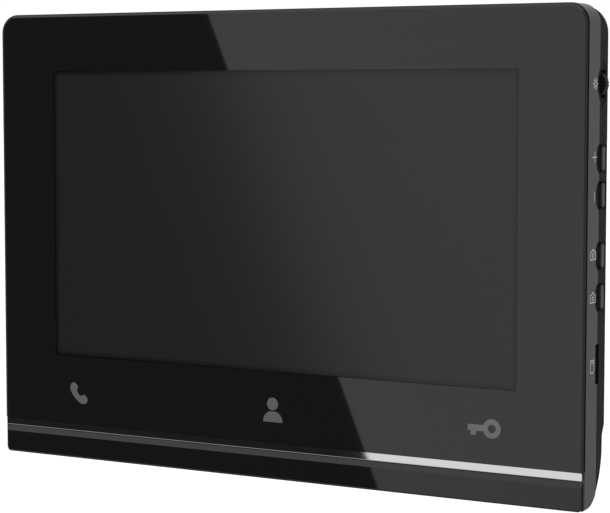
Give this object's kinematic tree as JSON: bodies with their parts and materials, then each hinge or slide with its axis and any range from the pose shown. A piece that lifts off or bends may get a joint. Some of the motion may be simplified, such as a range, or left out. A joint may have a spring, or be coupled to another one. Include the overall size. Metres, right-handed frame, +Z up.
{
  "type": "video intercom monitor",
  "caption": "Wall-hung video intercom monitor: wide screen behind a glossy panel, three touch keys, metal trim, side keys with a menu jog, and a hook-on steel bracket.",
  "frame": {"origin": "centre of the wall bracket's four screw holes, on the wall plane", "axes": "+X to the right along the screen, +Y into the wall (the front faces -Y), +Z up"},
  "size_m": [0.2826, 0.0225, 0.1957],
  "materials": {
    "panel_gloss": "high gloss black panel",
    "frame_gloss": "gloss black moulding",
    "cover_matte": "fine textured black moulding",
    "trim_metal": "polished strip",
    "screen": "matte display surface",
    "sheet_metal": "stamped sheet",
    "tray_white": "backlight tray",
    "tape": "foam tape",
    "circuit_board": "green solder mask",
    "foam": "soft foam",
    "film": "insulating film",
    "led": "clear resin",
    "chip": "moulded package",
    "capacitor": "sleeved can",
    "inductor": "ferrite",
    "cell": "coin cell",
    "socket_white": "natural nylon",
    "socket_green": "moulded nylon",
    "pin": "tinned pins",
    "switch": "switch housing",
    "key": "satin key",
    "screw": "zinc plated",
    "magnet": "ferrite and plated yoke",
    "cone": "coated paper",
    "mesh": "woven dust cloth",
    "microphone": "capsule",
    "rubber": "black rubber",
    "ribbon": "flat flexible cable",
    "lead": "insulated wire",
    "bracket_steel": "zinc plated sheet steel"
  },
  "bodies": {
    "bracket": {"wall_bracket": "bracket_steel"},
    "housing": {"front_panel": "panel_gloss", "chin_panel": "panel_gloss", "front_frame": "frame_gloss", "rear_cover": "cover_matte", "trim_strip": "trim_metal", "lcd_display": "screen", "screen_lens": "screen", "lcd_bezel": "sheet_metal", "lcd_backlight_tray": "tray_white", "lcd_clamps": "sheet_metal", "lcd_screws": "screw", "panel_tape": "tape", "touch_board": "circuit_board", "touch_posts": "foam", "icon_leds": "led", "insulating_sheet": "film", "main_board": "circuit_board", "board_chips": "chip", "shield_can": "sheet_metal", "board_capacitors": "capacitor", "board_inductors": "inductor", "clock_cell_holder": "switch", "clock_cell": "cell", "board_screws": "screw", "line_connectors": "socket_white", "power_connector": "socket_green", "connector_pins": "pin", "card_socket": "sheet_metal", "key_board": "circuit_board", "key_switches": "switch", "jog_switch": "switch", "speaker_basket": "sheet_metal", "speaker_magnet": "magnet", "speaker_cone": "cone", "speaker_seal": "foam", "speaker_mesh": "mesh", "speaker_screws": "screw", "speaker_terminal": "circuit_board", "mic_boot": "rubber", "microphone": "microphone", "lcd_ribbon": "ribbon", "board_sockets": "socket_white", "key_ribbon": "ribbon", "speaker_leads": "lead", "mic_leads": "lead", "housing_screws": "screw", "rear_pads": "rubber"},
    "jog_carrier": {"jog_cradle": "switch", "jog_pin": "pin"},
    "jog": {"jog_wheel": "key"},
    "side_key_plus": {"key_plus": "key", "plunger_plus": "switch"},
    "side_key_minus": {"key_minus": "key", "plunger_minus": "switch"},
    "side_key_monitor": {"key_monitor": "key", "plunger_monitor": "switch"},
    "side_key_picture": {"key_picture": "key", "plunger_picture": "switch"}
  },
  "joints": [
    {"name": "bracket_lift", "type": "slide", "parent": "bracket", "child": "housing", "axis": [0, 0, 1], "range_m": [0, 0.008]},
    {"name": "press_plus", "type": "slide", "parent": "housing", "child": "side_key_plus", "axis": [-1, 0, 0], "range_m": [0, 0.0004], "stiffness_N_per_m": 900},
    {"name": "press_minus", "type": "slide", "parent": "housing", "child": "side_key_minus", "axis": [-1, 0, 0], "range_m": [0, 0.0004], "stiffness_N_per_m": 900},
    {"name": "press_monitor", "type": "slide", "parent": "housing", "child": "side_key_monitor", "axis": [-1, 0, 0], "range_m": [0, 0.0004], "stiffness_N_per_m": 900},
    {"name": "press_picture", "type": "slide", "parent": "housing", "child": "side_key_picture", "axis": [-1, 0, 0], "range_m": [0, 0.0004], "stiffness_N_per_m": 900},
    {"name": "press_jog", "type": "slide", "parent": "housing", "child": "jog_carrier", "axis": [-1, 0, 0], "range_m": [0, 0.0004], "stiffness_N_per_m": 900},
    {"name": "turn_jog", "type": "hinge", "parent": "jog_carrier", "child": "jog", "pos_m": [0.1366, -0.0056, 0.06665], "axis": [0, 1, 0], "range_deg": [-12, 12], "stiffness_Nm_per_rad": 0.02}
  ]
}
